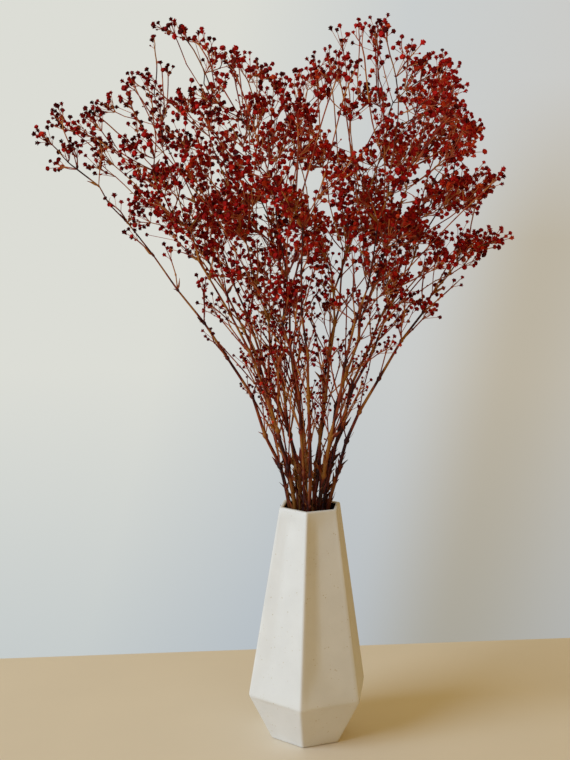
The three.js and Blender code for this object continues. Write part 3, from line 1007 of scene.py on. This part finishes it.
def stack_rings(vase):
    """Raises the vase from its base over belly and rim, and sinks its hollow down to the floor."""
    bmesh.ops.create_circle(vase, cap_ends=True, segments=VASE_SIDES, radius=BASE_RADIUS)
    top = vase.faces[:]
    rings = (
        (BELLY_RADIUS, BELLY_HEIGHT), (RIM_RADIUS, VASE_HEIGHT),
        (RIM_RADIUS - RIM_WALL, VASE_HEIGHT), (BELLY_RADIUS - VASE_WALL, BELLY_HEIGHT),
        (BASE_RADIUS - VASE_WALL, FLOOR_THICKNESS))
    radius = BASE_RADIUS
    height = 0
    for next_radius, next_height in rings:
        made = bmesh.ops.extrude_face_region(vase, geom=top, use_keep_orig=height == 0)["geom"]
        if height > 0:
            bmesh.ops.delete(vase, geom=top, context="FACES")
        top = [item for item in made if isinstance(item, bmesh.types.BMFace)]
        corners = [item for item in made if isinstance(item, bmesh.types.BMVert)]
        share = next_radius / radius
        bmesh.ops.scale(vase, vec=(share, share, 1), verts=corners)
        bmesh.ops.translate(vase, vec=(0, 0, next_height - height), verts=corners)
        radius, height = next_radius, next_height


def rise_of(edge):
    return abs(edge.verts[0].co.z - edge.verts[1].co.z)


def dish_faces(vase, depth):
    """Sinks each outer face like a shallow hipped roof turned inside out, deepest off middle."""
    half_side = math.pi / VASE_SIDES
    for vert in vase.verts:
        is_outer = vert.co.xy.length > outer_radius(vert.co.z) * math.cos(half_side) - TOLERANCE
        if not is_outer or not EDGE_MARGIN <= vert.co.z <= VASE_HEIGHT - EDGE_MARGIN:
            continue
        low, high = (0, BELLY_HEIGHT) if vert.co.z < BELLY_HEIGHT else (BELLY_HEIGHT, VASE_HEIGHT)
        angle = math.atan2(vert.co.x, -vert.co.y) % (2 * half_side) - half_side
        across = (1 + math.tan(angle) / math.tan(half_side)) / 2
        rise = (vert.co.z - low) / (high - low)
        share = min(
            across / DEEPEST_ACROSS, (1 - across) / (1 - DEEPEST_ACROSS), rise / DISH_FOOT,
            (1 - rise) / DISH_TOP)
        sunk = depth * share * (high - low) / VASE_HEIGHT
        vert.co.xy *= 1 - sunk / vert.co.xy.length


def is_inside(face):
    """Whether a face is on the inner wall or the inner floor, below the glazed lip."""
    middle = face.calc_center_median()
    is_floor = face.normal.z > 0.9 and middle.z < BELLY_HEIGHT
    is_wall = face.normal.xy.dot(middle.xy) < 0 and middle.z < VASE_HEIGHT - GLAZED_LIP
    return is_floor or is_wall


def outer_radius(height):
    if height < BELLY_HEIGHT:
        return mixed(BASE_RADIUS, BELLY_RADIUS, height / BELLY_HEIGHT)
    return mixed(BELLY_RADIUS, RIM_RADIUS, (height - BELLY_HEIGHT) / (VASE_HEIGHT - BELLY_HEIGHT))


class GYPSOPHILA_OT_make_stems(bpy.types.Operator):
    """Makes each spray's stem, twigs and pedicels, with swollen nodes, scales and dry leaves"""

    bl_idname = "gypsophila.make_stems"
    bl_label = "Make the stems"

    def execute(self, context):
        settings = context.scene.gypsophila_stems
        bract = bract_template()
        bark = dyed_bark(settings)
        draws = random.Random(LOOKS_SEED + 1)
        for number, spray in numbered_sprays(context.scene):
            stems = bmesh.new()
            for least, most, roundness, steps, girth in TUBE_DETAIL:
                shoots = [shoot for shoot in spray.shoots if least < shoot[0].thickness <= most]
                add_tubes(stems, shoots, settings.node_swell, roundness, steps, girth)
            for place, heading, length in spray.bracts:
                turn = draws.uniform(0, math.tau)
                size = (length, length, length)
                stamp(
                    stems, bract, place, heading, size, turn, "girth",
                    draws.uniform(*LEAF_GIRTH))
            for face in stems.faces:
                face.smooth = True
            finish_spray(context.scene, number, stems, "stems", "stem", bark)
        bpy.data.meshes.remove(bract)
        return {"FINISHED"}


class GYPSOPHILA_OT_make_florets(bpy.types.Operator):
    """Makes each spray's dried double florets and closed buds"""

    bl_idname = "gypsophila.make_florets"
    bl_label = "Make the florets"

    def execute(self, context):
        settings = context.scene.gypsophila_florets
        draws = random.Random(LOOKS_SEED + 2)
        kinds = [floret_template(order, draws) for order in range(FLORET_KINDS)]
        bud = bud_template()
        petal = dyed_petal(settings)
        radius = settings.diameter / MM / 2
        for number, spray in numbered_sprays(context.scene):
            florets = bmesh.new()
            for place, heading, share in spray.florets:
                size = share * radius * draws.uniform(*FLORET_SIZE)
                sizes = (size, size, size * draws.uniform(*FLORET_TALLNESS))
                turn = draws.uniform(0, math.tau)
                # The tint also grows with place.x: painted warm light on the bunch's right side.
                tint = clamped(
                    draws.gauss(*TINT) + HEART_TINT * nearness_to_heart(place)
                    + place.x / PAINTED_LIGHT_REACH)
                leaning = sideways_heading(heading, draws.uniform(*FLORET_LEAN), turn)
                stamp(florets, draws.choice(kinds), place, leaning, sizes, turn, "tint", tint)
            for place, heading in spray.buds:
                size = draws.uniform(*BUD_SIZE)
                tint = draws.uniform(*BUD_TINT)
                stamp(florets, bud, place, heading, (size,) * 3, 0, "tint", tint)
            finish_spray(context.scene, number, florets, "florets", "flower", petal)
        for shape in (*kinds, bud):
            bpy.data.meshes.remove(shape)
        return {"FINISHED"}


# Materials. A texture's scale is the number of its patterns in a metre, as places are in metres.

def new_material(name):
    """An empty material, its node tree, and the place on the piece that its patterns follow."""
    material = bpy.data.materials.new(name)
    material.use_nodes = True
    tree = material.node_tree
    tree.nodes.clear()
    return material, tree, add_node(tree, "TexCoord", {}, "Object")


def add_node(tree, kind, inputs, output=0, stops=(), **settings):
    """Adds a node with its settings, and its inputs' values or links, and gives one of its outputs.

    Stops are the places and colours of a ramp.
    """
    node = tree.nodes.new(f"ShaderNode{kind}")
    for name, value in settings.items():
        setattr(node, name, value)
    for name, value in inputs.items():
        if isinstance(value, bpy.types.NodeSocket):
            tree.links.new(value, node.inputs[name])
        else:
            node.inputs[name].default_value = value
    for order, (place, colour) in enumerate(stops):
        elements = node.color_ramp.elements
        element = elements[order] if order < len(elements) else elements.new(place)
        element.position = place
        element.color = colour
    return node.outputs[output] if node.outputs else None


def white_glaze(settings):
    """Satin white glaze on stoneware, slip cast: iron specks, uneven white, faint orange peel.

    The specks lie some 3 mm apart in patches of 6 mm, the white clouds over in 26 mm, and the peel,
    drawn coarser than it is so that it shows, has dimples of 2.4 mm. One chip shows on an edge.
    """
    material, tree, place = new_material("satin_white_glaze")
    specks = add_node(tree, "TexVoronoi", {"Vector": place, "Scale": 360}, "Distance")
    rare = add_node(tree, "TexNoise", {"Vector": place, "Scale": 160, "Detail": 2})
    near = add_node(tree, "MapRange", {
        "Value": specks, "From Min": 0.1, "From Max": 0.26, "To Min": 1, "To Max": 0})
    chosen = add_node(tree, "MapRange", {"Value": rare, "From Min": 0.54, "From Max": 0.66})
    speck = add_node(tree, "Math", {0: near, 1: chosen}, operation="MULTIPLY")
    cloudy = add_node(
        tree, "TexNoise", {"Vector": place, "Scale": 38, "Detail": 3, "Roughness": 0.55})
    white = add_node(tree, "ValToRGB", {"Fac": cloudy}, stops=[
        (0.3, [0.93 * share for share in settings.glaze[:3]] + [1]), (0.7, settings.glaze)])
    specked = add_node(tree, "Mix", {0: speck, 6: white, 7: settings.speckle}, 2, data_type="RGBA")
    away = add_node(
        tree, "VectorMath", {0: place, 1: CHIP_PLACE * MM}, "Value", operation="DISTANCE")
    chip = add_node(tree, "MapRange", {
        "Value": away, "From Min": 0.9 * MM, "From Max": 1.5 * MM, "To Min": 1, "To Max": 0})
    chipped = add_node(
        tree, "Mix", {0: chip, 6: specked, 7: linear("#6E6558")}, 2, data_type="RGBA")
    peel = add_node(tree, "TexNoise", {"Vector": place, "Scale": 420, "Detail": 2})
    bump = add_node(tree, "Bump", {"Height": peel, "Strength": 0.12, "Distance": 0.4 * MM})
    sheen = add_node(tree, "MapRange", {"Value": cloudy, "To Min": 0.42, "To Max": 0.58})
    shader = add_node(tree, "BsdfPrincipled", {
        "Base Color": chipped, "Roughness": sheen, "IOR": 1.5, "Normal": bump})
    add_node(tree, "OutputMaterial", {"Surface": shader})
    return material


def shaded_hollow():
    """The vase's inside, dark brown as painted shade deep in its hollow, uneven over 17 mm."""
    material, tree, place = new_material("painted_shade_in_hollow")
    shade_patches = add_node(tree, "TexNoise", {"Vector": place, "Scale": 60, "Detail": 4})
    colour = add_node(tree, "ValToRGB", {"Fac": shade_patches}, stops=[
        (0.35, linear("#1C110A")), (0.65, linear("#32231A"))])
    shader = add_node(tree, "BsdfPrincipled", {
        "Base Color": colour, "Roughness": 0.9, "Specular IOR Level": 0.1})
    add_node(tree, "OutputMaterial", {"Surface": shader})
    return material


def dyed_bark(settings):
    """Glycerined gypsophila stems: brown bark that took the red dye unevenly.

    The dye changes in patches of 8 mm, seven times as long, and near the rim the stems are darkened
    as painted shade. The fibres are drawn 1 mm wide, coarser than they are, so that they show.
    """
    material, tree, place = new_material("dyed_bark")
    girth = add_node(tree, "Attribute", {}, "Fac", attribute_name="girth")
    lengthways = add_node(tree, "Mapping", {"Vector": place, "Scale": (1, 1, 0.15)})
    patches = add_node(tree, "TexNoise", {"Vector": lengthways, "Scale": 120, "Detail": 2})
    dyed = add_node(tree, "ValToRGB", {"Fac": patches}, stops=[
        (0.41, settings.stain), (0.5, linear("#7E2A0E")), (0.6, settings.bark)])
    twig = add_node(tree, "ValToRGB", {"Fac": patches}, stops=[
        (0.36, linear("#8C2210")), (0.5, linear("#B85430")), (0.64, linear("#C88044"))])
    colour = add_node(tree, "Mix", {0: girth, 6: twig, 7: dyed}, 2, data_type="RGBA")
    height = add_node(tree, "SeparateXYZ", {"Vector": place}, "Z")
    # Painted shade: the stems grow darker by height towards the rim and below it, where they lie in
    # shade.
    rim_shade = add_node(tree, "MapRange", {
        "Value": height, "From Min": 0.195, "From Max": 0.27, "To Min": 0.7, "To Max": 0})
    rim_shaded = add_node(
        tree, "Mix", {0: rim_shade, 6: colour, 7: linear("#8A7A78")}, 2, data_type="RGBA",
        blend_type="MULTIPLY")
    fibres = add_node(tree, "TexNoise", {"Vector": place, "Scale": 900, "Detail": 2})
    bump = add_node(tree, "Bump", {"Height": fibres, "Strength": 0.25, "Distance": 0.2 * MM})
    shader = add_node(tree, "BsdfPrincipled", {
        "Base Color": rim_shaded, "Roughness": 0.62, "Specular IOR Level": 0.25, "Normal": bump})
    add_node(tree, "OutputMaterial", {"Surface": shader})
    return material


def dyed_petal(settings):
    """Dried petals dyed dark red: matt and papery, each floret with its own depth of dye.

    The dye is uneven over 1.7 mm, about a petal's width.
    """
    material, tree, place = new_material("dyed_petal")
    tint = add_node(tree, "Attribute", {}, "Fac", attribute_name="tint")
    uneven = add_node(tree, "TexNoise", {"Vector": place, "Scale": 600, "Detail": 2})
    shifted = add_node(tree, "Math", {0: uneven, 1: 0.3, 2: tint}, operation="MULTIPLY_ADD")
    colour = add_node(tree, "ValToRGB", {"Fac": shifted}, stops=[
        (0.15, settings.deep), (0.6, settings.dye), (1, settings.faded)])
    bump = add_node(tree, "Bump", {"Height": uneven, "Strength": 0.3, "Distance": 0.2 * MM})
    shader = add_node(tree, "BsdfPrincipled", {
        "Base Color": colour, "Roughness": 0.85, "Specular IOR Level": 0.12, "Normal": bump})
    add_node(tree, "OutputMaterial", {"Surface": shader})
    return material


def table_top(settings):
    """Matt beige laminate, pressed: even colour with very faint mottling, 170 mm across."""
    material, tree, place = new_material("beige_laminate")
    mottled = add_node(tree, "TexNoise", {"Vector": place, "Scale": 6, "Detail": 4})
    colour = add_node(tree, "ValToRGB", {"Fac": mottled}, stops=[
        (0.3, [0.95 * share for share in settings.table[:3]] + [1]), (0.7, settings.table)])
    shader = add_node(tree, "BsdfPrincipled", {"Base Color": colour, "Roughness": 0.6})
    add_node(tree, "OutputMaterial", {"Surface": shader})
    return material


class GYPSOPHILA_OT_set_stage(bpy.types.Operator):
    """Sets the table, the wall's colour, the window light and the camera"""

    bl_idname = "gypsophila.set_stage"
    bl_label = "Set the stage"

    def execute(self, context):
        settings = context.scene.gypsophila_stage
        scene = context.scene
        scene.view_settings.view_transform = "Standard"
        set_table(scene, settings)
        set_world(scene, settings)

        key = bpy.data.lights.new("window_light", "AREA")
        key.shape = "DISK"
        key.size = KEY_SIZE
        key.energy = settings.key_power
        key.color = linear(KEY_COLOUR)[:3]
        key_object = link_object(scene, "window_light", key)
        key_object.location = KEY_PLACE
        key_object.rotation_mode = "QUATERNION"
        key_object.rotation_quaternion = (KEY_AIM - KEY_PLACE).to_track_quat("-Z", "Y")

        camera = bpy.data.cameras.new("camera")
        camera.lens = CAMERA_LENS
        camera.sensor_width = CAMERA_SENSOR
        scene.camera = link_object(scene, "camera", camera)
        turned = Matrix.Rotation(CAMERA_TURN, 4, "Z")
        dipped = Matrix.Rotation(math.pi / 2 - CAMERA_DIP, 4, "X")
        rolled = Matrix.Rotation(CAMERA_ROLL, 4, "Z")
        scene.camera.matrix_world = Matrix.Translation(CAMERA_PLACE) @ turned @ dipped @ rolled
        return {"FINISHED"}


def set_table(scene, settings):
    """A thick table top, its back edge behind the vase."""
    table = bmesh.new()
    bmesh.ops.create_cube(table, size=1)
    bmesh.ops.scale(table, vec=(TABLE_SIZE, TABLE_SIZE, TABLE_THICKNESS), verts=table.verts)
    middle = (0, TABLE_BACK - TABLE_SIZE / 2, -TABLE_THICKNESS / 2)
    bmesh.ops.translate(table, vec=middle, verts=table.verts)
    bmesh.ops.rotate(table, verts=table.verts, matrix=Matrix.Rotation(TABLE_TURN, 3, "Z"))
    mesh = to_mesh("table", table)
    mesh.materials.append(table_top(settings))
    link_object(scene, "table", mesh)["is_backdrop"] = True


def set_world(scene, settings):
    """A pale wall with the bouquet's soft shadow across it, and room light from five sides."""
    scene.world = bpy.data.worlds.new("room")
    scene.world.use_nodes = True
    tree = scene.world.node_tree
    tree.nodes.clear()
    heading = add_node(tree, "TexCoord", {}, "Generated")
    aside = add_node(tree, "SeparateXYZ", {"Vector": heading}, "X")
    height = add_node(tree, "SeparateXYZ", {"Vector": heading}, "Z")
    slanted = add_node(tree, "Math", {0: height, 1: -0.216, 2: aside}, operation="MULTIPLY_ADD")
    across = add_node(tree, "MapRange", {"Value": slanted, "From Min": -0.4, "From Max": 0.2})
    lit = add_node(tree, "ValToRGB", {"Fac": across}, stops=[
        (0, settings.window_side), (0.33, settings.window_side), (0.56, linear("#CBCFCF")),
        (0.8, settings.far_side)])
    low = add_node(tree, "MapRange", {"Value": height, "From Min": -0.13, "From Max": -0.36})
    dimmed = add_node(
        tree, "Mix", {0: low, 6: lit, 7: linear("#E5EBF3")}, 2, data_type="RGBA",
        blend_type="MULTIPLY")
    band = add_node(tree, "ValToRGB", {"Fac": across}, stops=[
        (0.66, (0, 0, 0, 1)), (0.82, (1, 1, 1, 1)), (1, (0.45, 0.45, 0.45, 1))])
    band.node.color_ramp.interpolation = "EASE"
    fading = add_node(tree, "MapRange", {"Value": height, "From Min": 0.11, "From Max": -0.02})
    shaded = add_node(tree, "Math", {0: band, 1: fading}, operation="MULTIPLY")
    wall = add_node(
        tree, "Mix", {0: shaded, 6: dimmed, 7: linear("#ECE2D0")}, 2, data_type="RGBA",
        blend_type="MULTIPLY")
    glows = []
    for side, colour in ROOM_LIGHT:
        facing = add_node(
            tree, "VectorMath", {0: heading, 1: side}, "Value", operation="DOT_PRODUCT")
        share = add_node(tree, "Math", {0: facing, 1: 0}, operation="MAXIMUM")
        glows.append(add_node(
            tree, "VectorMath", {0: linear(colour)[:3], "Scale": share}, operation="SCALE"))
    light = functools.reduce(
        lambda one, other: add_node(tree, "VectorMath", {0: one, 1: other}), glows)
    seen = add_node(tree, "LightPath", {}, "Is Camera Ray")
    both = add_node(tree, "Mix", {0: seen, 6: light, 7: wall}, 2, data_type="RGBA")
    background = add_node(tree, "Background", {"Color": both})
    add_node(tree, "OutputWorld", {"Surface": background})


class GYPSOPHILA_PT_panel(bpy.types.Panel):
    """The sidebar's list of settings and steps"""

    bl_idname = "GYPSOPHILA_PT_panel"
    bl_label = "Preserved gypsophila"
    bl_space_type = "VIEW_3D"
    bl_region_type = "UI"
    bl_category = "Gypsophila"

    def draw(self, context):
        for name, group, step in STEPS:
            box = self.layout.box()
            box.operator(step.bl_idname)
            for setting in group.__annotations__:
                box.prop(getattr(context.scene, name), setting)


STEPS = (
    ("gypsophila_vase", VaseSettings, GYPSOPHILA_OT_make_vase),
    ("gypsophila_stems", StemSettings, GYPSOPHILA_OT_make_stems),
    ("gypsophila_florets", FloretSettings, GYPSOPHILA_OT_make_florets),
    ("gypsophila_stage", StageSettings, GYPSOPHILA_OT_set_stage),
)


def register():
    for name, group, step in STEPS:
        bpy.utils.register_class(group)
        setattr(bpy.types.Scene, name, bpy.props.PointerProperty(type=group))
        bpy.utils.register_class(step)
    bpy.utils.register_class(GYPSOPHILA_PT_panel)


def unregister():
    bpy.utils.unregister_class(GYPSOPHILA_PT_panel)
    for name, group, step in STEPS:
        bpy.utils.unregister_class(step)
        delattr(bpy.types.Scene, name)
        bpy.utils.unregister_class(group)


def main():
    register()
    bpy.ops.gypsophila.make_vase()
    bpy.ops.gypsophila.make_stems()
    bpy.ops.gypsophila.make_florets()
    bpy.ops.gypsophila.set_stage()
    boxes = {"cad": CAD_BOX, "visual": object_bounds()}
    {name: [list(corner) for corner in box] for name, box in boxes.items()}


if __name__ == "__main__":
    main()
